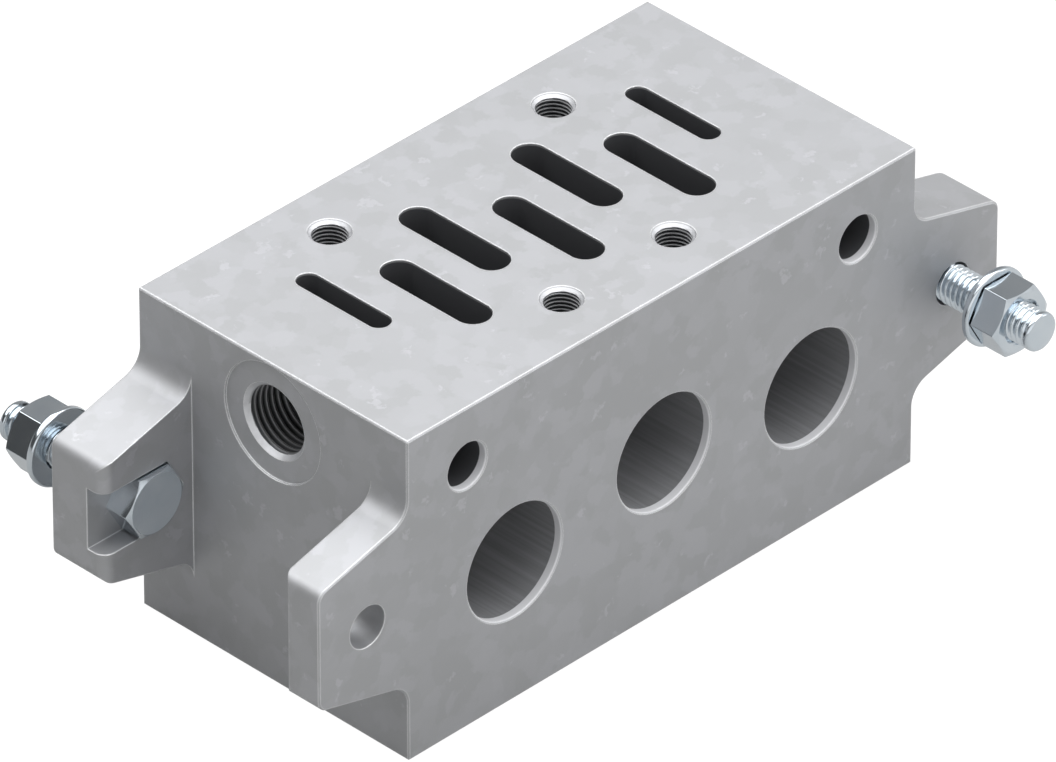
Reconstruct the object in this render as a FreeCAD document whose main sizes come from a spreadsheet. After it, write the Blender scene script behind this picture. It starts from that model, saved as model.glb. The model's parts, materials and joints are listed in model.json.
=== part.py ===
import FreeCAD, Part
import math
import os
import Sketcher

# Manifold sub-base for one five-port valve of interface size 1.
# Origin at the centre of the underside. +X along the row of slots, +Z out of the valve face,
# -Y out of the side whose ducts have plain mouths. Lengths in millimetres, angles in degrees.
DIMENSIONS = {
    # block
    "block_length": 82.0,
    "block_width": 43.0,
    "block_height": 44.0,
    "edge_break": 0.2,
    # lugs on the two ends, alike above and below the bolt's axis
    "lug_reach": 14.0,
    "lug_root_height": 23.4,
    "lug_slope": 15.0,
    "lug_tip_radius": 1.6,
    "lug_root_radius": 3.0,
    "thin_lug_wall": 5.8,
    "thick_lug_wall": 8.5,
    "bolt_reach": 6.4,
    "bolt_height": 22.0,
    "lug_hole_diameter": 5.5,
    "pocket_floor": 5.8,
    "pocket_gap": 0.2,
    # ducts that run on from one sub-base to the next
    "duct_diameter": 15.0,
    "duct_spacing": 24.0,
    "outer_duct_height": 19.0,
    "middle_duct_height": 22.0,
    "pilot_duct_diameter": 6.0,
    "pilot_duct_place": 31.5,
    "pilot_depth": 8.0,
    # valve face
    "slot_pitch": 9.0,
    "slot_width": 4.5,
    "slot_length": 16.2,
    "slot_row_offset": 3.0,
    "slot_floor_rise": 2.0,
    "pilot_slot_place": 26.5,
    "pilot_slot_width": 3.0,
    "pilot_slot_length": 14.2,
    "pilot_slot_offset": 3.2,
    "pilot_slot_overrun": 1.0,
    "valve_screw_diameter": 5.0,
    "valve_screw_depth": 12.0,
    "valve_screw_chamfer": 0.12,
    "wide_screw_spacing": 36.0,
    "narrow_screw_spacing": 18.0,
    "screw_row_spacing": 28.0,
    # ports 2 and 4 in the underside, and the passages from them to their slots
    "outlet_place": 12.0,
    "outlet_diameter": 13.157,
    "outlet_depth": 10.5,
    "outlet_chamfer": 0.3,
    "passage_width": 4.8,
    "passage_length": 10.8,
    "passage_top_height": 34.0,
    "passage_low_height": 24.0,
    # pilot ports in the two end faces
    "pilot_port_diameter": 9.728,
    "pilot_port_depth": 6.4,
    "spot_face_diameter": 15.35,
    "spot_face_depth": 0.3,
    "gallery_diameter": 4.8,
    # rings of rectangular section that seal the ducts, in the +Y side
    "duct_ring_bore": 15.6,
    "duct_ring_wall": 1.9,
    "duct_seat_depth": 1.4,
    "pilot_duct_ring_bore": 6.4,
    "pilot_duct_ring_wall": 1.5,
    "pilot_duct_seat_depth": 1.4,
    "ring_stand_out": 0.4,
    "ring_gap": 0.1,
    # joining bolts with their washers and nuts
    "bolt_diameter": 5.0,
    "bolt_length": 20.0,
    "bolt_end_chamfer": 0.45,
    "head_height": 3.5,
    "across_flats": 8.0,
    "nut_height": 4.0,
    "nut_gap": 0.05,
    "washer_diameter": 10.0,
    "washer_thickness": 1.0,
    "washer_gap": 0.15,
    "clamp_space": 6.0,
}

doc = FreeCAD.newDocument("manifold_sub_base")
sheet = doc.addObject("Spreadsheet::Sheet", "Dims")
for row, (alias, value) in enumerate(DIMENSIONS.items(), start=1):
    sheet.set(f"A{row}", alias)
    sheet.set(f"B{row}", str(value))
    sheet.setAlias(f"B{row}", alias)
doc.recompute()

# Places used by more than one sub-part, as expressions in the sheet's values
LENGTH_HALF = "Dims.block_length / 2"
WIDTH_HALF = "Dims.block_width / 2"
BOLT_PLACE = f"({LENGTH_HALF} + Dims.bolt_reach)"
PILOT_HEIGHT = "(Dims.block_height - Dims.pilot_depth)"
POCKET_PLACE = f"({WIDTH_HALF} - Dims.pocket_floor)"
WASHER_PLACE = f"({WIDTH_HALF} + Dims.clamp_space)"

# Each duct's name, its place along X, its height and the start of its sizes' names
DUCTS = [
    ("middle_duct", "0", "Dims.middle_duct_height", "duct"),
    ("outer_duct", "Dims.duct_spacing", "Dims.outer_duct_height", "duct"),
    ("pilot_duct", "Dims.pilot_duct_place", PILOT_HEIGHT, "pilot_duct"),
]


def plain(expression):
    """The sheet's expression as a plain number."""
    found = sheet.evalExpression(expression)
    return float(getattr(found, "Value", found))


def new_body(name):
    body = doc.addObject("PartDesign::Body", name)
    body.Label = name
    return body


def origin_part(body, role):
    return next(f for f in body.Origin.OriginFeatures if f.Role == role)


def new_sketch(body, name, plane, offset=None):
    """A sketch on one of the body's own planes; offset places its origin, in the sketch's axes."""
    sketch = body.newObject("Sketcher::SketchObject", name)
    sketch.AttachmentSupport = (origin_part(body, plane), [""])
    sketch.MapMode = "FlatFace"
    for axis, expression in (offset or {}).items():
        sketch.setExpression(f"AttachmentOffset.Base.{axis}", expression)
    return sketch


def bind(sketch, constraint, expression, *geometry):
    """Adds a sized constraint and ties it to the sheet."""
    index = sketch.addConstraint(Sketcher.Constraint(constraint, *geometry, plain(expression)))
    sketch.setExpression(f"Constraints[{index}]", expression)


def circle(sketch, diameter):
    """A circle round the sketch's origin."""
    edge = sketch.addGeometry(
        Part.Circle(FreeCAD.Vector(), FreeCAD.Vector(0, 0, 1), plain(diameter) / 2)
    )
    sketch.addConstraint(Sketcher.Constraint("Coincident", edge, 3, -1, 1))
    bind(sketch, "Diameter", diameter, edge)
    return sketch


def outline(sketch, corners):
    """A closed outline through corners, each a pair of expressions; "0" puts a corner on that axis."""
    places = [FreeCAD.Vector(plain(x), plain(y), 0) for x, y in corners]
    count = len(corners)
    edges = [
        sketch.addGeometry(Part.LineSegment(places[i], places[(i + 1) % count]))
        for i in range(count)
    ]
    for i, edge in enumerate(edges):
        sketch.addConstraint(Sketcher.Constraint("Coincident", edge, 2, edges[(i + 1) % count], 1))
        across, up = corners[i]
        if across == "0":
            sketch.addConstraint(Sketcher.Constraint("PointOnObject", edge, 1, -2))
        else:
            bind(sketch, "DistanceX", across, -1, 1, edge, 1)
        if up == "0":
            sketch.addConstraint(Sketcher.Constraint("PointOnObject", edge, 1, -1))
        else:
            bind(sketch, "DistanceY", up, -1, 1, edge, 1)
    return sketch


def rectangle(sketch, width, height):
    """A rectangle centred on the sketch's origin."""
    x, y = f"({width}) / 2", f"({height}) / 2"
    return outline(sketch, [(f"-({x})", f"-({y})"), (x, f"-({y})"), (x, y), (f"-({x})", y)])


def slot(sketch, width, length):
    """A slot with round ends, centred on the sketch's origin, its length along the sketch's Y."""
    radius, straight = plain(width) / 2, (plain(length) - plain(width)) / 2
    up = FreeCAD.Vector(0, 0, 1)
    right = Part.LineSegment(FreeCAD.Vector(radius, -straight, 0), FreeCAD.Vector(radius, straight, 0))
    left = Part.LineSegment(FreeCAD.Vector(-radius, straight, 0), FreeCAD.Vector(-radius, -straight, 0))
    far = Part.ArcOfCircle(Part.Circle(FreeCAD.Vector(0, straight, 0), up, radius), 0, math.pi)
    near = Part.ArcOfCircle(
        Part.Circle(FreeCAD.Vector(0, -straight, 0), up, radius), math.pi, 2 * math.pi
    )
    edges = [sketch.addGeometry(shape) for shape in (right, far, left, near)]
    for i, edge in enumerate(edges):
        sketch.addConstraint(Sketcher.Constraint("Tangent", edge, 2, edges[(i + 1) % 4], 1))
    sketch.addConstraint(Sketcher.Constraint("Symmetric", edges[1], 3, edges[3], 3, -1, 1))
    sketch.addConstraint(Sketcher.Constraint("Vertical", edges[0]))
    bind(sketch, "Radius", f"({width}) / 2", edges[1])
    bind(sketch, "DistanceY", f"({length}) - ({width})", edges[3], 3, edges[1], 3)
    return sketch


def hexagon(sketch):
    """A hexagon round the origin with two corners on the sketch's X, sized across its flats."""
    half = "Dims.across_flats / 2"
    corner = f"{half} / cos(30 deg)"
    edge = f"{half} * tan(30 deg)"
    return outline(
        sketch,
        [(corner, "0"), (edge, half), (f"-({edge})", half),
         (f"-({corner})", "0"), (f"-({edge})", f"-({half})"), (edge, f"-({half})")],
    )


def pad(body, name, sketch, length, reverse=False):
    feature = body.newObject("PartDesign::Pad", name)
    feature.Profile = sketch
    feature.Reversed = reverse
    feature.setExpression("Length", length)
    return feature


def pocket(body, name, sketch, length=None, reverse=False):
    """A pocket against the sketch's normal, or with no length right through on both sides."""
    feature = body.newObject("PartDesign::Pocket", name)
    feature.Profile = sketch
    if length is None:
        feature.Type = "ThroughAll"
        feature.Midplane = True
    else:
        feature.Reversed = reverse
        feature.setExpression("Length", length)
    return feature


def groove(body, name, sketch, axis="V_Axis"):
    feature = body.newObject("PartDesign::Groove", name)
    feature.Profile = sketch
    feature.ReferenceAxis = (sketch, [axis])
    feature.Angle = 360
    return feature


def half_turn(body, name, features):
    """Repeats features on the other end, half a turn about Z."""
    pattern = body.newObject("PartDesign::PolarPattern", name)
    pattern.Originals = features
    pattern.Axis = (origin_part(body, "Z_Axis"), [""])
    pattern.Angle = 360
    pattern.Occurrences = 2
    body.Tip = pattern
    return pattern


def mirrored(body, name, features):
    """Repeats features on the other side of the YZ plane."""
    pattern = body.newObject("PartDesign::Mirrored", name)
    pattern.Originals = features
    pattern.MirrorPlane = (origin_part(body, "YZ_Plane"), [""])
    body.Tip = pattern
    return pattern


def dress(body, kind, name, size, picked):
    """A Fillet or Chamfer on the edges of the body that picked(edge, its box) accepts."""
    doc.recompute()
    base = body.Tip
    names = [
        f"Edge{i}"
        for i, edge in enumerate(base.Shape.Edges, start=1)
        if picked(edge, edge.BoundBox)
    ]
    feature = body.newObject(f"PartDesign::{kind}", name)
    feature.Base = (base, names)
    feature.setExpression("Radius" if kind == "Fillet" else "Size", size)
    return feature


def place_along_y(body, across, along, height, side):
    """Turns a body's own Z to point along +Y, or along -Y where side is -1, and puts it in its place."""
    turn = FreeCAD.Rotation(FreeCAD.Vector(1, 0, 0), -90 * side)
    body.Placement = FreeCAD.Placement(FreeCAD.Vector(), turn)
    body.setExpression("Placement.Base.x", across)
    body.setExpression("Placement.Base.y", f"{side} * {along}")
    body.setExpression("Placement.Base.z", height)


def near(a, b):
    return abs(a - b) < 1e-4


def flat_at(low, high, place):
    return near(low, place) and near(high, place)


# The block and its four lugs: a thick one that holds a bolt and a thin one that takes the
# neighbour's bolt on each end, with the same outline from the side
def add_block(body):
    base = rectangle(new_sketch(body, "block_outline", "XY_Plane"), "Dims.block_length", "Dims.block_width")
    pad(body, "block", base, "Dims.block_height")


def add_lugs(body):
    root = "Dims.lug_root_height / 2"
    tip = f"{root} - Dims.lug_reach * tan(Dims.lug_slope * 1 deg)"
    end = f"{LENGTH_HALF} + Dims.lug_reach"
    corners = [
        (LENGTH_HALF, f"-({root})"), (end, f"-({tip})"), (end, tip), (LENGTH_HALF, root),
    ]
    lugs = []
    for name, side in (("thick_lug", 1), ("thin_lug", -1)):
        place = {"y": "Dims.bolt_height", "z": f"{side} * {WIDTH_HALF}"}
        sketch = outline(new_sketch(body, f"{name}_outline", "XZ_Plane", place), corners)
        lugs.append(pad(body, name, sketch, f"Dims.{name}_wall", reverse=side > 0))
    half_turn(body, "lugs_of_other_end", lugs)


def round_lugs(body):
    """Rounds the lugs' outer corners and their inner upright edges, then fills their roots."""
    end = plain(f"{LENGTH_HALF} + Dims.lug_reach")
    inner_sides = [plain(f"{WIDTH_HALF} - Dims.{name}_wall") for name in ("thick_lug", "thin_lug")]
    root = plain(LENGTH_HALF)
    root_half = plain("Dims.lug_root_height / 2")
    bolt_height = plain("Dims.bolt_height")

    def outer_corner(edge, box):
        if not flat_at(abs(box.XMin), abs(box.XMax), end):
            return False
        level = flat_at(box.ZMin, box.ZMax, box.ZMin)
        return level or any(flat_at(abs(box.YMin), abs(box.YMax), side) for side in inner_sides)

    def root_corner(edge, box):
        across = flat_at(abs(box.XMin), abs(box.XMax), root) and box.YLength > 1
        level = flat_at(box.ZMin, box.ZMax, box.ZMin)
        return across and level and near(abs(box.ZMin - bolt_height), root_half)

    dress(body, "Fillet", "lug_tips", "Dims.lug_tip_radius", outer_corner)
    dress(body, "Fillet", "lug_roots", "Dims.lug_root_radius", root_corner)


def add_fastener_cuts(body):
    """The head's pocket and the bolt's hole in a thick lug, and the plain hole in a thin one.

    The pocket follows the hexagon at its inner end and is open at the lug's tip.
    """
    open_end = "Dims.lug_reach"
    half = "(Dims.across_flats / 2 + Dims.pocket_gap)"
    shoulder, inner_end = f"-({half} * tan(30 deg))", f"-({half} / cos(30 deg))"
    floor = {"x": BOLT_PLACE, "y": "Dims.bolt_height", "z": POCKET_PLACE}
    seat = outline(
        new_sketch(body, "head_pocket_outline", "XZ_Plane", floor),
        [(open_end, f"-{half}"), (open_end, half), (shoulder, half), (inner_end, "0"),
         (shoulder, f"-{half}")],
    )
    cuts = [pocket(body, "head_pocket", seat, "Dims.thick_lug_wall")]
    for name, side in (("bolt_hole", 1), ("neighbour_bolt_hole", -1)):
        place = {"x": BOLT_PLACE, "y": "Dims.bolt_height", "z": f"{side} * {WIDTH_HALF}"}
        mouth = circle(new_sketch(body, f"{name}_outline", "XZ_Plane", place), "Dims.lug_hole_diameter")
        cuts.append(pocket(body, name, mouth, "Dims.thick_lug_wall", reverse=side < 0))
    half_turn(body, "fastener_cuts_of_other_end", cuts)


# Ducts right through the block along Y, plain at one mouth and with a ring's seat at the other
def add_ducts(body):
    side_cuts = []
    for name, across, height, kind in DUCTS:
        bore = f"Dims.{kind}_diameter"
        seat = f"Dims.{kind}_ring_bore + 2 * Dims.{kind}_ring_wall + 2 * Dims.ring_gap"
        hole = circle(new_sketch(body, f"{name}_outline", "XZ_Plane", {"x": across, "y": height}), bore)
        place = {"x": across, "y": height, "z": f"-{WIDTH_HALF}"}
        rim = circle(new_sketch(body, f"{name}_seat_outline", "XZ_Plane", place), seat)
        cuts = [
            pocket(body, name, hole),
            pocket(body, f"{name}_seat", rim, f"Dims.{kind}_seat_depth", reverse=True),
        ]
        if across != "0":
            side_cuts += cuts
    mirrored(body, "ducts_of_other_side", side_cuts)


# The valve face: slots 5, 1 and 3 open into the ducts, the two pilot slots into the pilot
# galleries, and slots 2 and 4 run down between the ducts to the ports in the underside
def add_slots(body):
    row = {"x": "-2 * Dims.slot_pitch", "y": "-Dims.slot_row_offset", "z": "Dims.block_height"}
    first_outline = new_sketch(body, "duct_slot_outline", "XY_Plane", row)
    first = slot(first_outline, "Dims.slot_width", "Dims.slot_length")
    down = "Dims.block_height - Dims.outer_duct_height - Dims.slot_floor_rise"
    first_cut = pocket(body, "duct_slot", first, down)
    pattern = body.newObject("PartDesign::LinearPattern", "duct_slots")
    pattern.Originals = [first_cut]
    pattern.Direction = (origin_part(body, "X_Axis"), [""])
    pattern.setExpression("Length", "4 * Dims.slot_pitch")
    pattern.Occurrences = 3
    body.Tip = pattern
    place = {"x": "Dims.pilot_slot_place", "y": "Dims.pilot_slot_offset", "z": "Dims.block_height"}
    pilot_outline = new_sketch(body, "pilot_slot_outline", "XY_Plane", place)
    pilot = slot(pilot_outline, "Dims.pilot_slot_width", "Dims.pilot_slot_length")
    pilot_down = "Dims.pilot_depth + Dims.gallery_diameter / 2 + Dims.pilot_slot_overrun"
    pilot_cut = pocket(body, "pilot_slot", pilot, pilot_down)
    mirrored(body, "pilot_slots", [pilot_cut])


def add_outlets(body):
    """Passages that shift from slots 2 and 4 to their ports, and the ports' tapped bores."""
    stations = [
        ("slot_mouth", "Dims.slot_pitch", "Dims.slot_row_offset", "Dims.block_height",
         "Dims.slot_width", "Dims.slot_length"),
        ("passage_top", "Dims.slot_pitch", "Dims.slot_row_offset", "Dims.passage_top_height",
         "Dims.slot_width", "Dims.slot_length"),
        ("passage_low", "Dims.outlet_place", "0", "Dims.passage_low_height",
         "Dims.passage_width", "Dims.passage_length"),
        ("passage_end", "Dims.outlet_place", "0", "Dims.outlet_depth / 2",
         "Dims.passage_width", "Dims.passage_length"),
    ]
    sections = [
        slot(new_sketch(body, name, "XY_Plane", {"x": x, "y": y, "z": z}), width, length)
        for name, x, y, z, width, length in stations
    ]
    passage = body.newObject("PartDesign::SubtractiveLoft", "outlet_passage")
    passage.Profile = sections[0]
    passage.Sections = sections[1:]
    passage.Ruled = True
    radius = "Dims.outlet_diameter / 2"
    rim = f"{radius} + Dims.outlet_chamfer"
    port = outline(
        new_sketch(body, "outlet_port_profile", "XZ_Plane", {"x": "Dims.outlet_place"}),
        [("0", "0"), (rim, "0"), (radius, "Dims.outlet_chamfer"), (radius, "Dims.outlet_depth"),
         ("0", "Dims.outlet_depth")],
    )
    mirrored(body, "outlets_of_other_side", [passage, groove(body, "outlet_port", port)])


def add_valve_screw_holes(body):
    """Four blind tapped holes: two far apart in the +Y row, two close together in the -Y row."""
    radius = "Dims.valve_screw_diameter / 2"
    corners = [
        ("0", "0"), (f"{radius} + Dims.valve_screw_chamfer", "0"), (radius, "-Dims.valve_screw_chamfer"),
        (radius, "-Dims.valve_screw_depth"), ("0", "-Dims.valve_screw_depth"),
    ]
    holes = []
    for name, side in (("wide_screw", -1), ("narrow_screw", 1)):
        place = {
            "x": f"Dims.{name}_spacing / 2",
            "y": "Dims.block_height",
            "z": f"{side} * Dims.screw_row_spacing / 2",
        }
        sketch = outline(new_sketch(body, f"{name}_hole_profile", "XZ_Plane", place), corners)
        holes.append(groove(body, f"{name}_hole", sketch))
    mirrored(body, "valve_screw_holes", holes)


def add_pilot_ports(body):
    """Spot-faced tapped ports in the ends; each gallery crosses a pilot duct and ends in a pilot slot."""
    port = "Dims.pilot_port_diameter / 2"
    gallery = "Dims.gallery_diameter / 2"
    face = f"{LENGTH_HALF} - Dims.pilot_slot_place"
    spot = f"{face} - Dims.spot_face_depth"
    spot_edge = "Dims.spot_face_diameter / 2"
    inner = f"{face} - Dims.pilot_port_depth"
    corners = [
        ("0", "0"), (face, "0"), (face, spot_edge), (spot, spot_edge),
        (spot, port), (inner, port), (inner, gallery), ("0", gallery),
    ]
    place = {"x": "Dims.pilot_slot_place", "y": PILOT_HEIGHT}
    sketch = outline(new_sketch(body, "pilot_port_profile", "XZ_Plane", place), corners)
    mirrored(body, "pilot_ports", [groove(body, "pilot_port", sketch, axis="H_Axis")])


def break_edges(body):
    """A small chamfer round the machined faces, and at the ducts' plain mouths."""
    side = plain(WIDTH_HALF)
    end = plain(LENGTH_HALF)
    levels = (0, plain("Dims.block_height"))

    def machined(edge, box):
        on_side = near(box.YMin, box.YMax) and near(abs(box.YMin), side)
        on_end = near(box.XMin, box.XMax) and near(abs(box.XMin), end)
        on_level = near(box.ZMin, box.ZMax) and any(near(box.ZMin, level) for level in levels)
        plain_mouth = edge.Closed and box.YMin < 0 and abs(box.Center.x) < end
        return on_side and (plain_mouth or not edge.Closed) or on_end and on_level

    dress(body, "Chamfer", "edge_breaks", "Dims.edge_break", machined)


def make_manifold_body():
    body = new_body("manifold_body")
    add_block(body)
    add_lugs(body)
    round_lugs(body)
    add_fastener_cuts(body)
    add_ducts(body)
    add_slots(body)
    add_outlets(body)
    add_valve_screw_holes(body)
    add_pilot_ports(body)
    break_edges(body)
    return body


# Sealing rings: each stands out of its seat, and is squeezed flat by the next sub-base
def make_ring(name, across, height, kind):
    body = new_body(name)
    bore = f"Dims.{kind}_ring_bore"
    inner, outer = f"{bore} / 2", f"{bore} / 2 + Dims.{kind}_ring_wall"
    seat = f"Dims.{kind}_seat_depth"
    top = "Dims.ring_stand_out"
    base = f"Dims.ring_gap - {seat}"
    section = [(inner, base), (outer, base), (outer, top), (inner, top)]
    ring = body.newObject("PartDesign::Revolution", f"{name}_ring")
    ring.Profile = outline(new_sketch(body, f"{name}_section", "XZ_Plane"), section)
    ring.ReferenceAxis = (ring.Profile[0], ["V_Axis"])
    ring.Angle = 360
    place_along_y(body, across, WIDTH_HALF, height, 1)
    return body


def make_rings():
    rings = []
    for duct, across, height, kind in DUCTS:
        name = f"{duct}_seal"
        if across == "0":
            rings.append(make_ring(name, across, height, kind))
        else:
            rings.append(make_ring(f"{name}_left", f"-{across}", height, kind))
            rings.append(make_ring(f"{name}_right", across, height, kind))
    return rings


# Fasteners are drawn along +Z from the bolt's bearing face, threads at their nominal diameter,
# and then turned to point out of the side that their lug is on
def make_bolt(name):
    body = new_body(name)
    head = hexagon(new_sketch(body, f"{name}_head_outline", "XY_Plane"))
    pad(body, f"{name}_head", head, "Dims.head_height", reverse=True)
    shank = circle(new_sketch(body, f"{name}_shank_outline", "XY_Plane"), "Dims.bolt_diameter")
    pad(body, f"{name}_shank", shank, "Dims.bolt_length")
    end = plain("Dims.bolt_length")
    dress(
        body, "Chamfer", f"{name}_point", "Dims.bolt_end_chamfer",
        lambda edge, box: flat_at(box.ZMin, box.ZMax, end),
    )
    return body


def make_nut(name):
    body = new_body(name)
    pad(body, f"{name}_hex", hexagon(new_sketch(body, f"{name}_outline", "XY_Plane")), "Dims.nut_height")
    add_bolt_clearance(body, name, "Dims.nut_gap")
    return body


def make_washer(name):
    body = new_body(name)
    disc = circle(new_sketch(body, f"{name}_outline", "XY_Plane"), "Dims.washer_diameter")
    pad(body, f"{name}_disc", disc, "Dims.washer_thickness")
    add_bolt_clearance(body, name, "Dims.washer_gap")
    return body


def add_bolt_clearance(body, name, gap):
    bore = circle(new_sketch(body, f"{name}_bore_outline", "XY_Plane"), f"Dims.bolt_diameter + 2 * {gap}")
    pocket(body, f"{name}_bore", bore)


def make_fastener_set(end, across, side):
    """A bolt, washer and nut; side is 1 where they point along +Y and -1 where they point along -Y."""
    bolt = make_bolt(f"joining_bolt_{end}")
    washer = make_washer(f"washer_{end}")
    nut = make_nut(f"nut_{end}")
    starts = {bolt: POCKET_PLACE, washer: WASHER_PLACE, nut: f"({WASHER_PLACE} + Dims.washer_thickness)"}
    for body, start in starts.items():
        place_along_y(body, across, start, "Dims.bolt_height", side)
    return [bolt, washer, nut]


pieces = [make_manifold_body()]
pieces += make_rings()
pieces += make_fastener_set("left", f"-{BOLT_PLACE}", 1)
pieces += make_fastener_set("right", BOLT_PLACE, -1)
doc.recompute()

for item in doc.Objects:
    if {"Invalid", "Error"} & set(item.State):
        raise RuntimeError(f"{item.Label} failed: {item.State}")
for piece in pieces:
    if piece.Shape.isNull() or not piece.Shape.isValid():
        raise RuntimeError(f"{piece.Label} has no valid shape")
    if len(piece.Shape.Solids) != 1:
        raise RuntimeError(f"{piece.Label} is {len(piece.Shape.Solids)} solids")

os.makedirs("parts", exist_ok=True)
for piece in pieces:
    piece.Shape.exportStep(f"parts/{piece.Label}.step")
    print(f"{piece.Label}: {piece.Shape.Volume:.1f} mm3")
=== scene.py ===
import json
import math

import bmesh
import bpy
import numpy as np
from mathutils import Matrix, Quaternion, Vector


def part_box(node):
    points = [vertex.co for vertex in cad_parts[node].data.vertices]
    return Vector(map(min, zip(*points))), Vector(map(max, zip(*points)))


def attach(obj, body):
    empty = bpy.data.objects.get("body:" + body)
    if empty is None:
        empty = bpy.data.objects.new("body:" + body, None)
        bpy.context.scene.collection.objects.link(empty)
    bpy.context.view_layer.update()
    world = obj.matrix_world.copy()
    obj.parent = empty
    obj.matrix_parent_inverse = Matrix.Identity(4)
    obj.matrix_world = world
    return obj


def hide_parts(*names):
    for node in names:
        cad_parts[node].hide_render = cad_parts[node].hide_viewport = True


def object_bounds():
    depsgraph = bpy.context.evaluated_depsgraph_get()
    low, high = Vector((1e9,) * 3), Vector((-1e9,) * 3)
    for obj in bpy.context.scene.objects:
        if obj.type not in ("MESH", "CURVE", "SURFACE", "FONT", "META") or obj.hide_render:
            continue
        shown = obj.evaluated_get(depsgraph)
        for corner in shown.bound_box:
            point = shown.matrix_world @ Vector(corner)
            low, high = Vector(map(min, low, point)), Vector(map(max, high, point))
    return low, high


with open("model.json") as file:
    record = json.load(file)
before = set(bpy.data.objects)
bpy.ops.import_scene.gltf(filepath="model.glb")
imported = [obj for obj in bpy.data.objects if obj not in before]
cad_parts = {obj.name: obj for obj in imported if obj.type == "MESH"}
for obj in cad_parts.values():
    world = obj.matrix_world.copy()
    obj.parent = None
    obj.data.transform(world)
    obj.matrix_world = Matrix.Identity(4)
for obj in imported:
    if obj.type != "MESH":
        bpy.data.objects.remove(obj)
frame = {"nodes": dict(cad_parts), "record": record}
cadLow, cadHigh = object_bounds()
mounts = {mount["name"]: mount for mount in frame["record"]["mounts"]}

xAxis = np.array((1.0, 0.0, 0.0))
yAxis = np.array((0.0, 1.0, 0.0))
mm = 0.001


def toLinear(hexColour):
    # an sRGB hex colour as linear red, green, blue and a full alpha, by the sRGB curve
    parts = [int(hexColour[i:i + 2], 16) / 255 for i in (1, 3, 5)]
    return tuple(c / 12.92 if c <= 0.04045 else ((c + 0.055) / 1.055) ** 2.4 for c in parts) + (1.0,)


def addNode(tree, kind, inputs=None, **settings):
    # one node, its settings, and its inputs as plain values or as links from other sockets
    node = tree.nodes.new(kind)
    for name, value in settings.items():
        setattr(node, name, value)
    for key, value in (inputs or {}).items():
        if isinstance(value, bpy.types.NodeSocket):
            tree.links.new(value, node.inputs[key])
        else:
            node.inputs[key].default_value = value
    return node


# Short forms of addNode. In each a value is a plain one or a socket.
def noise(tree, place, size, detail, roughness=0.5):
    # soft noise with waves about one size long: a number, and a colour
    return addNode(tree, "ShaderNodeTexNoise", {
        "Vector": place, "Scale": 1 / size, "Detail": detail, "Roughness": roughness}).outputs


def mapped(tree, value, low, high, toLow=0.0, toHigh=1.0, smooth=False):
    # low to high becomes toLow to toHigh, held at both ends
    return addNode(tree, "ShaderNodeMapRange", {"Value": value, 1: low, 2: high, 3: toLow, 4: toHigh},
                   interpolation_type="SMOOTHSTEP" if smooth else "LINEAR").outputs[0]


def mixNumbers(tree, share, first, second):
    # the first number at share 0 and the second at share 1
    return addNode(tree, "ShaderNodeMix", {0: share, 2: first, 3: second}).outputs[0]


def mixColours(tree, share, first, second):
    # the same for colours, each a hex colour or a socket
    first, second = [toLinear(end) if isinstance(end, str) else end for end in (first, second)]
    return addNode(tree, "ShaderNodeMix", {0: share, 6: first, 7: second}, data_type="RGBA").outputs[2]


def numberMath(tree, operation, first, second=0.0):
    return addNode(tree, "ShaderNodeMath", {0: first, 1: second}, operation=operation).outputs[0]


def vectorMath(tree, operation, first, second=(0.0, 0.0, 0.0)):
    return addNode(tree, "ShaderNodeVectorMath", {0: first, 1: second}, operation=operation).outputs[0]


def scaled(tree, vector, factor):
    return addNode(tree, "ShaderNodeVectorMath", {0: vector, "Scale": factor}, operation="SCALE").outputs[0]


def dotted(tree, first, second):
    # how far the first vector goes along the second
    return addNode(tree, "ShaderNodeVectorMath", {0: first, 1: second},
                   operation="DOT_PRODUCT").outputs["Value"]


def separated(tree, vector):
    return addNode(tree, "ShaderNodeSeparateXYZ", {0: vector}).outputs


def bumped(tree, height, distance, **normal):
    # the normal of a surface whose height map spans this distance
    return addNode(tree, "ShaderNodeBump", {
        "Strength": 1.0, "Distance": distance, "Height": height, **normal}).outputs[0]


def placeOn(tree):
    # the place on the piece, in metres
    return addNode(tree, "ShaderNodeTexCoord").outputs["Object"]


def emptyMaterial(name):
    material = bpy.data.materials.new(name)
    material.use_nodes = True
    material.node_tree.nodes.clear()
    return material, material.node_tree


def addSkin(tree, inputs):
    shader = addNode(tree, "ShaderNodeBsdfPrincipled", inputs).outputs[0]
    addNode(tree, "ShaderNodeOutputMaterial", {"Surface": shader})


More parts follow.
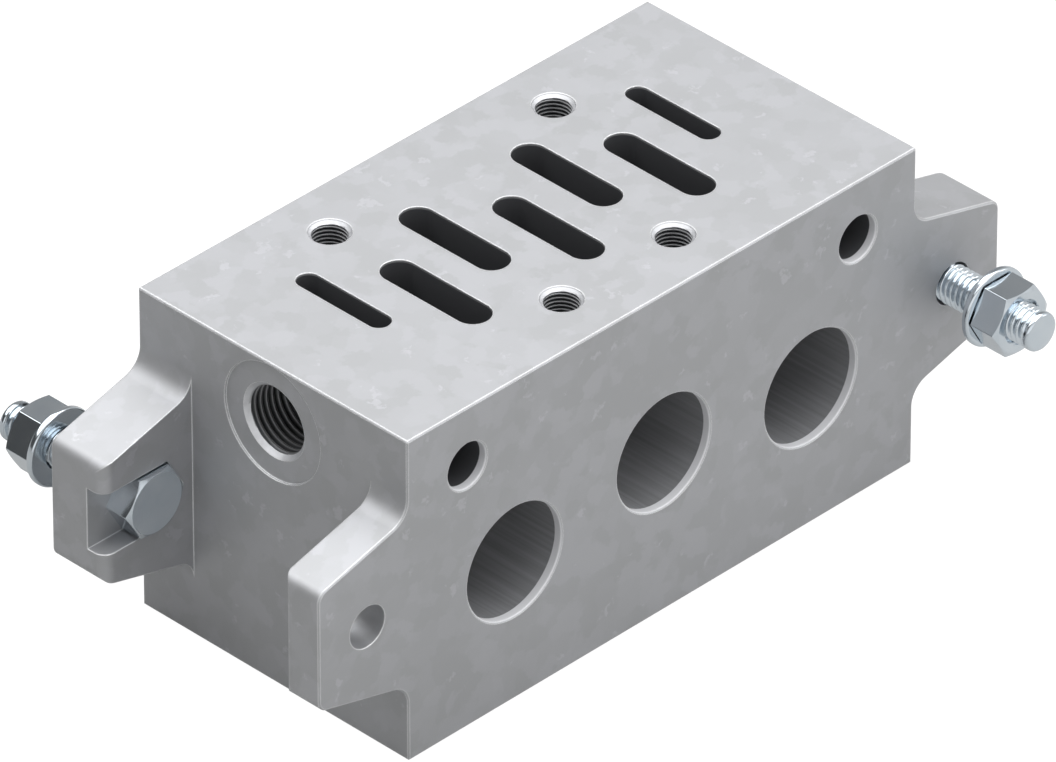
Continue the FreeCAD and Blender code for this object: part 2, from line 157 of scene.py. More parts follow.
# Cast aluminium, machined on its faces and then blasted: a soft grey metal with hazy clouds, faint
# crystal patches and a few pale flecks. A painted highlight lies along its broken edges. The walls inside
# are dull and dark, partly from the sand cores' oxide and partly from painted shade, with streaks along
# the ducts, behind a machined land at each mouth that is pale from its own metal and a painted highlight.
castLook = {
    "pale": "#BABBBE",
    "dark": "#B3B4B6",
    "fleck": "#C5C6CA",
    # near white: a painted highlight along the broken edges, convex and concave alike
    "edge": "#F6F7F8",
    # pale: partly the land's own machined metal, partly a painted highlight
    "landAndPaintedHighlight": "#DADBDE",
    # the cored walls: partly their oxide, partly painted shade inside the passages
    "coredWallWithPaintedShade": "#636466",
    "coredStreak": "#87888B",
    # painted shade, darker in the narrow slots
    "narrowPaintedShade": "#525356",
    "roughness": 0.62,
    "fleckRoughness": 0.52,
    "edgeRoughness": 0.5,
    "landRoughness": 0.8,
    "landMetal": 0.35,       # the turning marks on a land scatter light widely
    "coredRoughness": 0.75,
    "narrowRoughness": 0.6,
    "narrowMetal": 0.5,
    "cloudSize": 13.0,       # mm
    "patchSize": 2.6,        # mm, the size of a crystal patch
    "patchRagged": 1.1,      # mm, how far a patch's outline wanders
    "patchSoftness": 0.35,
    "patchShare": 0.45,      # the patches' share in the mottling, beside the clouds
    "toneRange": (0.3, 0.7),     # the mottling's values at its darkest and palest
    "fleckSize": 3.0,        # mm
    "fleckRange": (0.64, 0.7),   # the noise where a fleck starts and where it is full
    "fleckShare": 0.55,      # how much of its own colour a full fleck shows
    "grainSize": 0.22,       # mm, coarser than the real blasting grit, so that it shows
    "grainHeight": 0.0035,   # mm
    "swellSize": 14.0,       # mm, the cast surface's slow waves
    "swellHeight": 0.012,    # mm
    "edgeWidth": 0.25,       # mm
    "edgeSamples": 5,
    "edgeRange": (0.99, 0.86),   # the cosine of the rounding where an edge starts and is full
    "coredMiddle": (0.0, 0.0, 22.03),    # mm, the middle of the room that the cores fill
    "coredHalf": (40.45, 21.5, 21.68),   # mm, half that room, out to its mouths
    "coredBlend": 0.06,      # mm
    "faceRange": (0.05, 0.12),   # mm, the depth past a joining face where its land begins
    "landRange": (1.1, 1.15),    # mm, the depth to which the ducts' mouths are machined
    "streakWidth": 0.45,     # mm
    "streakLength": 22.0,    # mm
    "narrowRange": (29.0, 33.0), # mm, the height over which all passages are narrow
}


def castMottling(tree, inMm):
    # clouds, ragged crystal patches over them, and pale flecks with soft outlines
    look = castLook
    clouds = noise(tree, inMm, look["cloudSize"], detail=5.0, roughness=0.58)[0]
    wander = noise(tree, inMm, look["patchRagged"], detail=3.0, roughness=0.6)[1]
    centred = vectorMath(tree, "SUBTRACT", wander, (0.5, 0.5, 0.5))
    ragged = vectorMath(tree, "ADD", inMm, scaled(tree, centred, look["patchRagged"] * 2))
    cells = addNode(tree, "ShaderNodeTexVoronoi", {
        "Vector": ragged, "Scale": 1 / look["patchSize"], "Smoothness": look["patchSoftness"]},
        feature="SMOOTH_F1").outputs["Color"]
    patch = addNode(tree, "ShaderNodeSeparateColor", {0: cells}).outputs[0]
    tone = mapped(tree, mixNumbers(tree, look["patchShare"], clouds, patch), *look["toneRange"])
    metal = mixColours(tree, tone, look["dark"], look["pale"])
    spots = noise(tree, ragged, look["fleckSize"], detail=3.0, roughness=0.55)[0]
    fleck = mapped(tree, spots, *look["fleckRange"], toHigh=look["fleckShare"], smooth=True)
    return mixColours(tree, fleck, metal, look["fleck"]), fleck


def coredRoom(tree, inMm):
    # two masks: inside the room that the cores fill, and there past the lands at its mouths
    look = castLook
    away = vectorMath(tree, "ABSOLUTE", vectorMath(tree, "SUBTRACT", inMm, look["coredMiddle"]))
    past = separated(tree, vectorMath(tree, "SUBTRACT", away, look["coredHalf"]))
    acrossOrUp = numberMath(tree, "MAXIMUM", past[0], past[2])
    inRoom = mapped(tree, acrossOrUp, 0.0, -look["coredBlend"])
    pastFace, pastLand = [mapped(tree, past[1], -start, -full)
                          for start, full in (look["faceRange"], look["landRange"])]
    return [numberMath(tree, "MULTIPLY", inRoom, mask) for mask in (pastFace, pastLand)]


def coredWallWithPaintedShade(tree, inMm):
    # a cored wall's colour, roughness and metal: dull with oxide and dark with painted shade, and darker
    # still with painted shade where it is narrow
    look = castLook
    thin, long = 1 / look["streakWidth"], 1 / look["streakLength"]
    along = vectorMath(tree, "MULTIPLY", inMm, (thin, long, thin))
    streak = noise(tree, along, 1.0, detail=2.0)[0]
    wall = mixColours(tree, streak, look["coredWallWithPaintedShade"], look["coredStreak"])
    # painted shade, deeper where the passages are narrow
    narrow = mapped(tree, separated(tree, inMm)[2], *look["narrowRange"])
    return (mixColours(tree, narrow, wall, look["narrowPaintedShade"]),
            mixNumbers(tree, narrow, look["coredRoughness"], look["narrowRoughness"]),
            numberMath(tree, "MULTIPLY", narrow, look["narrowMetal"]))


def brokenEdges(tree):
    # where the rounded normal leaves the face's own, which masks the edges' painted highlight, and that
    # rounded normal
    look = castLook
    rounded = addNode(tree, "ShaderNodeBevel", {"Radius": look["edgeWidth"] * mm},
                      samples=look["edgeSamples"]).outputs[0]
    facing = addNode(tree, "ShaderNodeNewGeometry").outputs["Normal"]
    return mapped(tree, dotted(tree, rounded, facing), *look["edgeRange"]), rounded


def castAluminium():
    look = castLook
    material, tree = emptyMaterial("castAluminium")
    inMm = scaled(tree, placeOn(tree), 1 / mm)
    metal, fleck = castMottling(tree, inMm)
    inside, cored = coredRoom(tree, inMm)
    wall, wallRoughness, wallMetallic = coredWallWithPaintedShade(tree, inMm)
    edge, rounded = brokenEdges(tree)

    # the masks lie over each other: flecks, edges and lands, and the cored walls over all
    # the lands: bright machined metal with a painted highlight
    colour = mixColours(tree, inside, metal, look["landAndPaintedHighlight"])
    # the edges get a painted highlight, near white
    colour = mixColours(tree, edge, colour, look["edge"])
    # the cored walls: oxide with painted shade
    colour = mixColours(tree, cored, colour, wall)
    roughness = mixNumbers(tree, fleck, look["roughness"], look["fleckRoughness"])
    roughness = mixNumbers(tree, edge, roughness, look["edgeRoughness"])
    roughness = mixNumbers(tree, inside, roughness, look["landRoughness"])
    roughness = mixNumbers(tree, cored, roughness, wallRoughness)
    metallic = mixNumbers(tree, inside, 1.0, look["landMetal"])
    metallic = mixNumbers(tree, cored, metallic, wallMetallic)

    # blasted grain over slow cast waves
    swell = noise(tree, inMm, look["swellSize"], detail=1.0)[0]
    grain = noise(tree, inMm, look["grainSize"], detail=2.0)[0]
    waves = bumped(tree, swell, look["swellHeight"] * mm, Normal=rounded)
    normal = bumped(tree, grain, look["grainHeight"] * mm, Normal=waves)
    addSkin(tree, {"Base Color": colour, "Metallic": metallic, "Roughness": roughness, "Normal": normal})
    return material


# Tapped aluminium: freshly cut metal on the crests and the countersink, lightened further by a painted
# highlight, and dark with painted shade in the roots, which lets the turns be told apart.
tapLook = {
    # partly fresh-cut metal, partly a painted highlight
    "crest": "#DCDDE0",
    # painted shade in the thread's roots
    "root": "#5A5B5D",
    "crestRoughness": 0.55,
    "rootRoughness": 0.5,
    "smearSize": 0.9,            # mm
    "smearRange": (0.3, 0.7),
    "smearShares": (0.88, 1.0),  # how bright a crest is under the oil's smear and beside it
}


def tappedAluminium():
    look = tapLook
    material, tree = emptyMaterial("tappedAluminium")
    worn = addNode(tree, "ShaderNodeAttribute", attribute_name="worn").outputs["Fac"]
    smear = noise(tree, placeOn(tree), look["smearSize"] * mm, detail=2.0)[0]
    fade = mapped(tree, smear, *look["smearRange"], *look["smearShares"])
    bright = numberMath(tree, "MULTIPLY", worn, fade)
    # painted shade in the roots, a painted highlight on the crests and the countersink
    colour = mixColours(tree, bright, look["root"], look["crest"])
    roughness = mixNumbers(tree, bright, look["rootRoughness"], look["crestRoughness"])
    addSkin(tree, {"Base Color": colour, "Metallic": 1.0, "Roughness": roughness})
    return material


# Bright zinc plate on steel: a clear bluish metal, smooth enough to mirror the studio, with faint
# clouds in the plating. The outer face of a bolt's head is as it was forged, so it is satin there.
zincLook = {
    "pale": "#D9DFE4",
    "blue": "#C6D0D8",
    "roughnesses": (0.14, 0.18),
    "forgedRoughness": 0.5,
    "cloudSize": 3.0,        # mm
    "cloudRange": (0.3, 0.7),
    "grainSize": 0.12,       # mm, coarser than the real plating's grain, so that it shows
    "grainHeight": 0.0003,   # mm
}


def zincPlatedSteel():
    look = zincLook
    material, tree = emptyMaterial("zincPlatedSteel")
    place = placeOn(tree)
    clouds = noise(tree, place, look["cloudSize"] * mm, detail=3.0)[0]
    colour = mixColours(tree, clouds, look["blue"], look["pale"])
    forged = addNode(tree, "ShaderNodeAttribute", attribute_name="forged").outputs["Fac"]
    plated = mapped(tree, clouds, *look["cloudRange"], *look["roughnesses"])
    roughness = mixNumbers(tree, forged, plated, look["forgedRoughness"])
    grain = noise(tree, place, look["grainSize"] * mm, detail=1.0)[0]
    normal = bumped(tree, grain, look["grainHeight"] * mm)
    addSkin(tree, {"Base Color": colour, "Metallic": 1.0, "Roughness": roughness, "Normal": normal})
    return material


# Nitrile rubber, compression moulded: nearly black and matt, with a faint grey bloom.
rubberLook = {
    "black": "#1B1C1D",
    "bloom": "#2B2C2E",
    "roughness": 0.6,
    "refraction": 1.52,
    "bloomSize": 1.5,        # mm
    "pitSize": 0.15,         # mm
    "pitHeight": 0.004,      # mm
}


def nitrileRubber():
    look = rubberLook
    material, tree = emptyMaterial("nitrileRubber")
    place = placeOn(tree)
    bloom = noise(tree, place, look["bloomSize"] * mm, detail=3.0)[0]
    colour = mixColours(tree, bloom, look["black"], look["bloom"])
    pits = noise(tree, place, look["pitSize"] * mm, detail=1.0)[0]
    normal = bumped(tree, pits, look["pitHeight"] * mm)
    addSkin(tree, {"Base Color": colour, "Roughness": look["roughness"], "IOR": look["refraction"],
                   "Normal": normal})
    return material


print("stage: materials")
castMetal = castAluminium()
tapMetal = tappedAluminium()
zincMetal = zincPlatedSteel()
sealRubber = nitrileRubber()

frame["nodes"]["manifold_body"].material_slots[0].material = castMetal

# Shared measures of new surfaces
weldDistance = 2e-7          # m, points nearer than this are one
sharpAngle = math.radians(26)
fullTurn = 2 * np.pi


def turned(stations, radii, angles, origin, axis, side):
    # a turned surface: origin + station along the axis
    # + radius along (cos(angle) side + sin(angle) across)
    across = np.cross(axis, side)
    outward = np.cos(angles)[..., None] * side + np.sin(angles)[..., None] * across
    return origin + stations[..., None] * axis + radii[..., None] * outward


def addSurface(name, grid, material, slotName, replaced=None, **marks):
    # a grid of points becomes quads; its seam, its poles and its flattened rows close by welding
    rows, columns = grid.shape[:2]
    index = np.arange(rows * columns).reshape(rows, columns)
    quads = np.stack([index[:-1, :-1], index[:-1, 1:], index[1:, 1:], index[1:, :-1]], axis=-1)
    mesh = bpy.data.meshes.new(name)
    mesh.from_pydata(grid.reshape(-1, 3), [], quads.reshape(-1, 4))
    for markName, values in marks.items():
        layer = mesh.attributes.new(markName, "FLOAT", "POINT")
        layer.data.foreach_set("value", values.astype(np.float32).ravel())
    shell = bmesh.new()
    shell.from_mesh(mesh)
    bmesh.ops.remove_doubles(shell, verts=shell.verts, dist=weldDistance)
    bmesh.ops.recalc_face_normals(shell, faces=shell.faces)
    shell.to_mesh(mesh)
    shell.free()
    mesh.polygons.foreach_set("use_smooth", np.ones(len(mesh.polygons), bool))
    mesh.set_sharp_from_angle(angle=sharpAngle)
    mesh.materials.append(material)
    piece = bpy.data.objects.new(name, mesh)
    bpy.context.scene.collection.objects.link(piece)
    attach(piece, "root")
    if replaced:
        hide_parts(replaced)
    return piece


def stacked(rows, columns):
    # rows of (station, radius), each a number or one value for each column, as two grids
    grid = np.array([[np.broadcast_to(part, columns) for part in row] for row in rows], float)
    return grid[:, 0], grid[:, 1]


def helixStations(low, high, pitch, angles, marks, phase=0.0):
    # rows that climb with the thread, held within low and high:
    # pitch x (turn + mark + angle / full turn) - phase
    turns = np.arange(math.floor((low + phase) / pitch) - 2, math.ceil((high + phase) / pitch) + 1)
    rows = (turns[:, None] + marks[None, :]).ravel()
    return np.clip(pitch * (rows[:, None] + angles[None, :] / fullTurn) - phase, low, high)


# Tapped holes. Each is a closed sleeve that lines the plain bore of the block: a countersink
# at 45 degrees and then the thread's turns.
cutThread = {
    "crestShare": 0.25,      # the flat on a crest, as a share of the pitch
    "rootShare": 0.125,      # the flat in a root
    "flankRows": 4,
    "columns": 72,
    "gap": 0.01 * mm,        # between the sleeve and the bore that it lines
    "skin": 0.03 * mm,       # metal left behind a root
    "runIn": 0.5,            # the share of a pitch over which the thread starts below its countersink
    # the crests' painted highlight
    "crestLightShare": 0.5,        # how bright the crests are, as a share of the countersink
    "crestLightFade": 2.5,         # how fast that fades down a flank
}
screwTap = {"minor": 2.12 * mm, "pitch": 0.53 * mm, "mouthDepth": 0.12 * mm, "length": 11.7 * mm}
pilotTap = {"minor": 4.283 * mm, "pitch": 0.907 * mm, "mouthDepth": 0.3 * mm, "length": 6.05 * mm}
outletTap = {"minor": 5.722 * mm, "pitch": 1.337 * mm, "mouthDepth": 0.3 * mm, "length": 10.15 * mm}
tapOfMount = {
    "valve_screws_wide": screwTap,
    "valve_screws_narrow": screwTap,
    "pilot_port_left": pilotTap,
    "pilot_port_right": pilotTap,
    "outlet_port_left": outletTap,
    "outlet_port_right": outletTap,
}
blockEnd = 41.0 * mm         # the block's two ends, without their lugs


def cutWave(turns):
    # 0 on a crest and 1 in a root: a triangle wave of the turns, cut flat over two shares of the pitch
    crest, root = cutThread["crestShare"], cutThread["rootShare"]
    climb = np.abs(2 * (turns % 1.0) - 1)
    return np.clip((climb - crest) / (1 - root - crest), 0, 1)


def cutMarks():
    # where in a pitch the rows lie: both flanks, with the flats between them
    crest, root = cutThread["crestShare"], cutThread["rootShare"]
    rising = np.linspace(root / 2, 0.5 - crest / 2, cutThread["flankRows"])
    return np.concatenate([rising, 1 - rising[::-1]])


def tapSleeve(name, mouth, inward, major, size):
    minor, pitch, length = size["minor"], size["pitch"], size["length"]
    angles = np.linspace(0, fullTurn, cutThread["columns"] + 1)
    depth = helixStations(0.0, length, pitch, angles, cutMarks())
    outer = major - cutThread["gap"]
    root = outer - cutThread["skin"]
    wave = cutWave(depth / pitch - angles / fullTurn)
    fadeIn = np.clip((depth - (outer - minor)) / (pitch * cutThread["runIn"]), 0, 1)
    thread = minor + (root - minor) * wave * fadeIn
    cone = outer - depth
    # a painted highlight on the crests and the countersink, painted shade in the roots
    worn = cutThread["crestLightShare"] * np.clip(1 - cutThread["crestLightFade"] * wave, 0, 1)
    worn = np.where(cone > thread, 1.0, worn)
    backStations, backRadii = stacked([(length, outer), (0, outer)], len(angles))
    stations = np.concatenate([depth, backStations])
    radii = np.concatenate([np.maximum(thread, cone), backRadii])
    wornRows = np.concatenate([worn, stacked([(0, 0), (1, 0)], len(angles))[0]])
    side = yAxis if abs(inward[0]) > 0.5 else xAxis
    grid = turned(stations, radii, angles, mouth, inward, side)
    return addSurface(name, grid, tapMetal, "cast_aluminium", worn=wornRows)


def tapHoles():
    for mountName, size in tapOfMount.items():
        mount = mounts[mountName]
        outwards = np.array(mount["axis"], float)
        centre = np.array(mount["pos_m"], float)
        dims = mount["dims"]
        major = dims.get("hole_r_mm", dims.get("r_mm")) * mm
        # the face that the hole opens in, along the hole's own axis
        upright = cadHigh[2] if outwards[2] > 0 else 0.0
        face = blockEnd if abs(outwards[0]) > 0.5 else upright
        onAxis = centre * (1 - np.abs(outwards))
        spacing = dims.get("spacing_x_mm", 0.0) * mm
        shifts = {"left": -spacing / 2, "right": spacing / 2} if spacing else {"": 0.0}
        for sideName, shift in shifts.items():
            mouth = onAxis + shift * xAxis + (face - size["mouthDepth"]) * outwards
            label = "_".join(part for part in (mountName, sideName, "thread") if part)
            tapSleeve(label, mouth, -outwards, major, size)


print("stage: tapped holes")
tapHoles()

# The hexagon that the bolts' heads and the nuts share
hexagonSize = {
    "acrossFlats": 8.0 * mm,
    "cornerRadius": 0.12 * mm,
    "cornerColumns": 5,
    "flatColumns": 9,
    "cornerTurn": 1.2,       # the columns beside a corner's arc stand this many times its turn off
    "faceShare": 0.97,       # the flat circle on top, as a share of the width across flats
    "chamferSlope": math.tan(math.radians(30)),
}
# Their rolled thread, M5
rolledThread = {
    "pitch": 0.8 * mm,
    "rows": 14,              # rows of points in one pitch
}
# Joining bolts, fully threaded, with a hexagon head
boltSize = {
    "headHeight": 3.5 * mm,
    "forgedDepth": 0.01 * mm,
    "neckRadius": 2.7 * mm,  # where the fillet under the head starts
    "crestRadius": 2.47 * mm,
    "rootRadius": 2.02 * mm,
    "threadStart": 4.9 * mm, # from the head's outer face
    "threadFade": 1 / 3,     # the share of a pitch over which the last turn ends
    "tipLength": 0.75 * mm,  # the plain rounded end beyond the last turn
    "tipArc": 0.5 * mm,
    "tipFlat": 1.95 * mm,    # radius of the end's flat
    "arcRows": 5,
}
nutSize = {
    "countersink": 2.9 * mm,
    "minorRadius": 2.09 * mm,
    "majorRadius": 2.5 * mm,
    "reliefHeight": 0.2 * mm,    # the round face that stands the hexagon off its washer
    "reliefRadius": 3.65 * mm,
}
sixth = math.radians(60)     # the turn from one flat of a hexagon to the next


def rolledTurns(low, high, angles, phase=0.0):
    # the rows of a rolled thread and its wave there, 0 on a crest and 1 in a root, both rounded:
    # half of 1 + cosine of the turns
    pitch, count = rolledThread["pitch"], rolledThread["rows"]
    run = helixStations(low, high, pitch, angles, np.arange(count) / count, phase)
    turns = (run + phase) / pitch - angles / fullTurn
    return run, (1 + np.cos(fullTurn * turns)) / 2


def hexagonAngles():
    # columns of a hexagon: close together round each corner's arc, evenly over each flat
    size = hexagonSize
    arc = size["cornerRadius"]
    reach = (size["acrossFlats"] / 2 - arc) / math.cos(sixth / 2)
    turn = math.atan2(arc * math.sin(sixth / 2), reach + arc * math.cos(sixth / 2))
    beside = turn * size["cornerTurn"]
    one = np.concatenate([np.linspace(-turn, turn, size["cornerColumns"]),
                          np.linspace(beside, sixth - beside, size["flatColumns"])])
    angles = (np.arange(6)[:, None] * sixth + one[None, :]).ravel()
    return np.append(angles, angles[0] + fullTurn)


def hexagonRadius(angles):
    # half the width across flats over the cosine from the flat's middle, with an arc at each corner
    half, arc = hexagonSize["acrossFlats"] / 2, hexagonSize["cornerRadius"]
    offset = (angles + sixth / 2) % sixth - sixth / 2
    reach = (half - arc) / math.cos(sixth / 2)
    flat = half / np.cos(sixth / 2 - np.abs(offset))
    inArc = arc ** 2 - (reach * np.sin(offset)) ** 2
    corner = reach * np.cos(offset) + np.sqrt(np.maximum(inArc, 0))
    return np.where(inArc > 0, np.minimum(flat, corner), flat)


def hexagonForm():
    # the columns, the radius at each, the flat circle's radius and how deep the chamfer reaches
    angles = hexagonAngles()
    hexagon = hexagonRadius(angles)
    faceRadius = hexagonSize["acrossFlats"] / 2 * hexagonSize["faceShare"]
    return angles, hexagon, faceRadius, (hexagon - faceRadius) * hexagonSize["chamferSlope"]


def joiningBolt(sideName, direction):
    size = boltSize
    nodeName = "joining_bolt_" + sideName
    low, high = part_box(nodeName)
    origin = np.array(((low.x + high.x) / 2, low.y if direction > 0 else high.y, (low.z + high.z) / 2))
    length = high.y - low.y
    angles, hexagon, faceRadius, chamfer = hexagonForm()
    crest, forged, headHeight = size["crestRadius"], size["forgedDepth"], size["headHeight"]
    bend = np.linspace(0, np.pi / 2, size["arcRows"])
    neck = size["neckRadius"] - crest
    head = [
        (0, 0),
        (0, faceRadius),
        (forged, faceRadius + forged),
        (np.maximum(chamfer, forged * 2), hexagon),
        (headHeight, hexagon),
    ]
    head += [(headHeight + neck * math.sin(a), crest + neck * (1 - math.sin(a))) for a in bend]
    run, wave = rolledTurns(size["threadStart"], length - size["tipArc"], angles)
    pitch = rolledThread["pitch"]
    fadeIn = np.clip((run - size["threadStart"]) / pitch, 0, 1)
    fadeOut = np.clip((length - size["tipLength"] - run) / (pitch * size["threadFade"]), 0, 1)
    shank = crest - (crest - size["rootRadius"]) * wave * fadeIn * fadeOut
    drop = crest - size["tipFlat"]
    tip = [(length - size["tipArc"] * (1 - math.sin(a)), size["tipFlat"] + drop * math.cos(a)) for a in bend]
    tip += [(length, 0)]
    headStations, headRadii = stacked(head, len(angles))
    tipStations, tipRadii = stacked(tip, len(angles))
    stations = np.concatenate([headStations, run, tipStations])
    radii = np.concatenate([headRadii, shank, tipRadii])
    grid = turned(stations, radii, angles, origin, direction * yAxis, xAxis)
    return addSurface(nodeName + "_threaded", grid, zincMetal, "zinc_plated_steel", nodeName,
                      forged=np.where(stations < forged, 1.0, 0.0))


def nut(sideName, direction):
    size = nutSize
    nodeName = "nut_" + sideName
    low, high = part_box(nodeName)
    boltLow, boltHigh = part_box("joining_bolt_" + sideName)
    near = low.y if direction > 0 else high.y
    boltNear = boltLow.y if direction > 0 else boltHigh.y
    origin = np.array(((boltLow.x + boltHigh.x) / 2, near, (boltLow.z + boltHigh.z) / 2))
    height = high.y - low.y
    angles, hexagon, faceRadius, chamfer = hexagonForm()
    # the nut's turns lie between the bolt's
    run, wave = rolledTurns(0.0, height, angles, phase=abs(near - boltNear))
    thread = size["majorRadius"] - (size["majorRadius"] - size["minorRadius"]) * wave
    bore = np.maximum(thread, size["countersink"] - np.minimum(run, height - run))
    outsideStations, outsideRadii = stacked([
        (height, faceRadius),
        (height - chamfer, hexagon),
        (size["reliefHeight"], hexagon),
        (size["reliefHeight"], size["reliefRadius"]),
        (0, size["reliefRadius"]),
    ], len(angles))
    stations = np.concatenate([run, outsideStations, run[:1]])
    radii = np.concatenate([bore, outsideRadii, bore[:1]])
    grid = turned(stations, radii, angles, origin, direction * yAxis, xAxis)
    return addSurface(nodeName + "_chamfered", grid, zincMetal, "zinc_plated_steel", nodeName)


# Rings with a rectangular section whose corners are rounded
ringSize = {"columns": 96, "arcRows": 6}


def roundedRing(nodeName, ending, near, direction, inner, arcs, material, slotName):
    # each corner of the section is an arc: corner + (1 - sin) and (1 - cos) of its radius
    low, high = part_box(nodeName)
    centre = np.array(((low.x + high.x) / 2, near, (low.z + high.z) / 2))
    outer, height = (high.x - low.x) / 2, high.y - low.y
    corners = [(0.0, inner, (0, 1), (1, 0)), (0.0, outer, (1, 0), (0, -1)),
               (height, outer, (0, -1), (-1, 0)), (height, inner, (-1, 0), (0, 1))]
    bend = np.linspace(0, np.pi / 2, ringSize["arcRows"])[:, None]
    section = []
    for (station, radius, ahead, back), arc in zip(corners, arcs):
        toNext, toLast = np.array(ahead, float), np.array(back, float)
        middle = np.array((station, radius)) + arc * (toNext + toLast)
        section.append(middle - arc * (np.cos(bend) * toNext + np.sin(bend) * toLast))
    section = np.concatenate(section + [section[0][:1]])
    angles = np.linspace(0, fullTurn, ringSize["columns"] + 1)
    stations, distances = stacked(section, len(angles))
    grid = turned(stations, distances, angles, centre, direction * yAxis, xAxis)
    return addSurface(nodeName + ending, grid, material, slotName, nodeName)


washerSize = {"bore": 2.65 * mm, "rimArc": 0.34 * mm, "boreArc": 0.12 * mm}


def washer(sideName, direction):
    nodeName = "washer_" + sideName
    low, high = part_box(nodeName)
    rim, bore = washerSize["rimArc"], washerSize["boreArc"]
    return roundedRing(nodeName, "_rounded", low.y if direction > 0 else high.y, direction,
                       washerSize["bore"], (bore, rim, rim, bore), zincMetal, "zinc_plated_steel")


print("stage: fasteners")
for sideName, direction in (("left", 1.0), ("right", -1.0)):
    joiningBolt(sideName, direction)
    nut(sideName, direction)
    washer(sideName, direction)

sealSize = {"arc": 0.35 * mm, "ductWidth": 1.9 * mm, "pilotWidth": 1.5 * mm}


def seal(nodeName, width):
    low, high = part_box(nodeName)
    return roundedRing(nodeName, "_moulded", low.y, 1.0, (high.x - low.x) / 2 - width,
                       (sealSize["arc"],) * 4, sealRubber, "nitrile_rubber")


print("stage: seals")
for nodeName in ("middle_duct_seal", "outer_duct_seal_left", "outer_duct_seal_right"):
    seal(nodeName, sealSize["ductWidth"])
for nodeName in ("pilot_duct_seal_left", "pilot_duct_seal_right"):
    seal(nodeName, sealSize["pilotWidth"])

# The level ways to the front right and to the front left, where the photograph's camera stands
frontRight = (0.707, -0.707, 0.0)
frontLeft = (-0.707, -0.707, 0.0)

# A pale floor. To the camera and in reflections a share of it is plain white, and the rest keeps
# the object's shadow. The share in reflections grows from the back left to the front right, as
# under a graduated sheet. From below the floor isn't there.
floorLook = {
    "colour": "#9C9C9B",
    "seenShare": 0.72,               # the white share to the camera
    "mirroredShares": (0.0, 0.28),   # and in reflections, at the back left and the front right
    "growWidth": 0.16,               # m, the width over which it grows
    "whiteLevel": 1.35,
    "halfWidth": 20.0,               # m
    "drop": 0.03 * mm,               # below the underside, so that the two aren't one plane
}


def paleFloor():
    look = floorLook
    material, tree = emptyMaterial("paleFloor")
    path = addNode(tree, "ShaderNodeLightPath").outputs
    half = look["growWidth"] / 2
    grown = mapped(tree, dotted(tree, placeOn(tree), frontRight), -half, half, *look["mirroredShares"])
    mirrored = numberMath(tree, "MAXIMUM", path["Is Glossy Ray"], path["Is Transmission Ray"])
    mirrored = numberMath(tree, "MULTIPLY", mirrored, grown)
    seen = numberMath(tree, "MULTIPLY", path["Is Camera Ray"], look["seenShare"])
    share = numberMath(tree, "MAXIMUM", seen, mirrored)
    plain = addNode(tree, "ShaderNodeBsdfDiffuse", {"Color": toLinear(look["colour"])}).outputs[0]
    white = addNode(tree, "ShaderNodeEmission", {"Strength": look["whiteLevel"]}).outputs[0]
    top = addNode(tree, "ShaderNodeMixShader", {0: share, 1: plain, 2: white}).outputs[0]
    below = addNode(tree, "ShaderNodeNewGeometry").outputs["Backfacing"]
    clear = addNode(tree, "ShaderNodeBsdfTransparent").outputs[0]
    surface = addNode(tree, "ShaderNodeMixShader", {0: below, 1: top, 2: clear}).outputs[0]
    addNode(tree, "ShaderNodeOutputMaterial", {"Surface": surface})
    return material


def makeFloor():
    half, low = floorLook["halfWidth"], -floorLook["drop"]
    corners = [(-half, -half, low), (half, -half, low), (half, half, low), (-half, half, low)]
    mesh = bpy.data.meshes.new("floor")
    mesh.from_pydata(corners, [], [(0, 1, 2, 3)])
    mesh.materials.append(paleFloor())
    floor = bpy.data.objects.new("floor", mesh)
    bpy.context.scene.collection.objects.link(floor)


# A soft studio. Its walls are dark at the back left, pale at the front right and brightest at the
# front left. The ranges say how far toward a corner a level starts and is full, 1 being straight at
# it, and the horizon's band is the white seam between floor and walls, by its height as a sine.
studioLook = {
    "darkWall": 0.10,
    "middleWall": 0.42,
    "paleWall": 1.0,
    "frontLeftWall": 1.4,
    "horizonLevel": 1.0,
    "darkRange": (-0.8, -0.1),
    "paleRange": (0.1, 0.8),
    "frontLeftRange": (0.5, 0.9),
    "horizonRange": (0.025, 0.05),
}
# A wide strip overhead, across the camera's line, and a small weak lamp at the front right
softboxes = {
    "overheadSoftbox": {
        "place": (0.02, 0.11, 0.95),
        "size": (1.24, 2.3),     # m, along the camera's line and across it
        "turn": 45.0,            # degrees
        "power": 24.2,
    },
    "sideSoftbox": {"place": (1.3, -0.9, 0.55), "size": (0.5, 0.5), "turn": 0.0, "power": 1.2},
}
softboxAim = Vector((0.0, 0.0, 0.02))


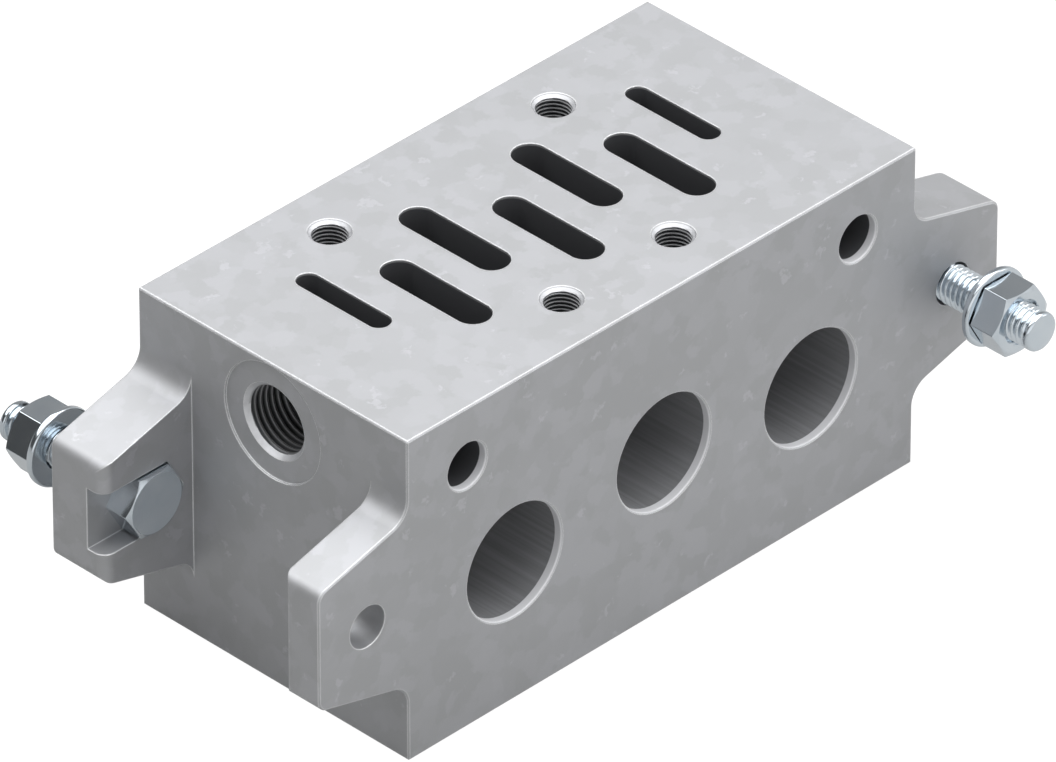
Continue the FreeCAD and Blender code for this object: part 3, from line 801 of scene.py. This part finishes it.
def makeWorld():
    look = studioLook
    world = bpy.data.worlds.new("studio")
    bpy.context.scene.world = world
    world.use_nodes = True
    tree = world.node_tree
    tree.nodes.clear()
    way = addNode(tree, "ShaderNodeTexCoord").outputs["Generated"]
    toFrontRight, toFrontLeft = dotted(tree, way, frontRight), dotted(tree, way, frontLeft)
    wall = mapped(tree, toFrontRight, *look["darkRange"], look["darkWall"], look["middleWall"], smooth=True)
    wall = mapped(tree, toFrontRight, *look["paleRange"], wall, look["paleWall"], smooth=True)
    wall = mapped(tree, toFrontLeft, *look["frontLeftRange"], wall, look["frontLeftWall"], smooth=True)
    height = numberMath(tree, "ABSOLUTE", separated(tree, way)[2])
    seam = mapped(tree, height, *look["horizonRange"], 1.0, 0.0)
    level = mixNumbers(tree, seam, wall, look["horizonLevel"])
    light = addNode(tree, "ShaderNodeBackground", {"Strength": level}).outputs[0]
    addNode(tree, "ShaderNodeOutputWorld", {"Surface": light})


def makeSoftbox(name, look):
    lamp = bpy.data.lights.new(name, "AREA")
    lamp.shape = "RECTANGLE"
    lamp.size, lamp.size_y = look["size"]
    lamp.energy = look["power"]
    holder = bpy.data.objects.new(name, lamp)
    holder.location = look["place"]
    towards = (softboxAim - holder.location).to_track_quat("-Z", "Y")
    turn = Quaternion((0, 0, 1), math.radians(look["turn"]))
    holder.rotation_euler = (towards @ turn).to_euler()
    bpy.context.scene.collection.objects.link(holder)


print("stage: floor, studio and camera")
makeFloor()
makeWorld()
for softboxName, softboxLook in softboxes.items():
    makeSoftbox(softboxName, softboxLook)

# The photograph's camera, found from the block's seven corners that show
cameraView = {
    "azimuth": -45.227,      # degrees, 0 looks along +Y
    "elevation": 35.056,     # degrees above the horizon
    "distance": 1.8703,
    "aim": (0.00698, 0.00719, 0.01427),
    "lens": 555.06,          # mm on a sensor 36 mm wide
    "sensor": 36.0,
    "farthest": 100.0,
}


def makeCamera():
    look = cameraView
    azimuth, elevation = math.radians(look["azimuth"]), math.radians(look["elevation"])
    back = Vector((math.sin(azimuth) * math.cos(elevation), -math.cos(azimuth) * math.cos(elevation),
                   math.sin(elevation)))
    lens = bpy.data.cameras.new("camera")
    lens.lens = look["lens"]
    lens.sensor_fit = "HORIZONTAL"
    lens.sensor_width = look["sensor"]
    lens.clip_end = look["farthest"]
    camera = bpy.data.objects.new("camera", lens)
    camera.location = Vector(look["aim"]) + look["distance"] * back
    camera.rotation_euler = back.to_track_quat("Z", "Y").to_euler()
    bpy.context.scene.collection.objects.link(camera)
    bpy.context.scene.camera = camera


makeCamera()
bpy.context.scene.view_settings.view_transform = "Standard"

print("stage: done")
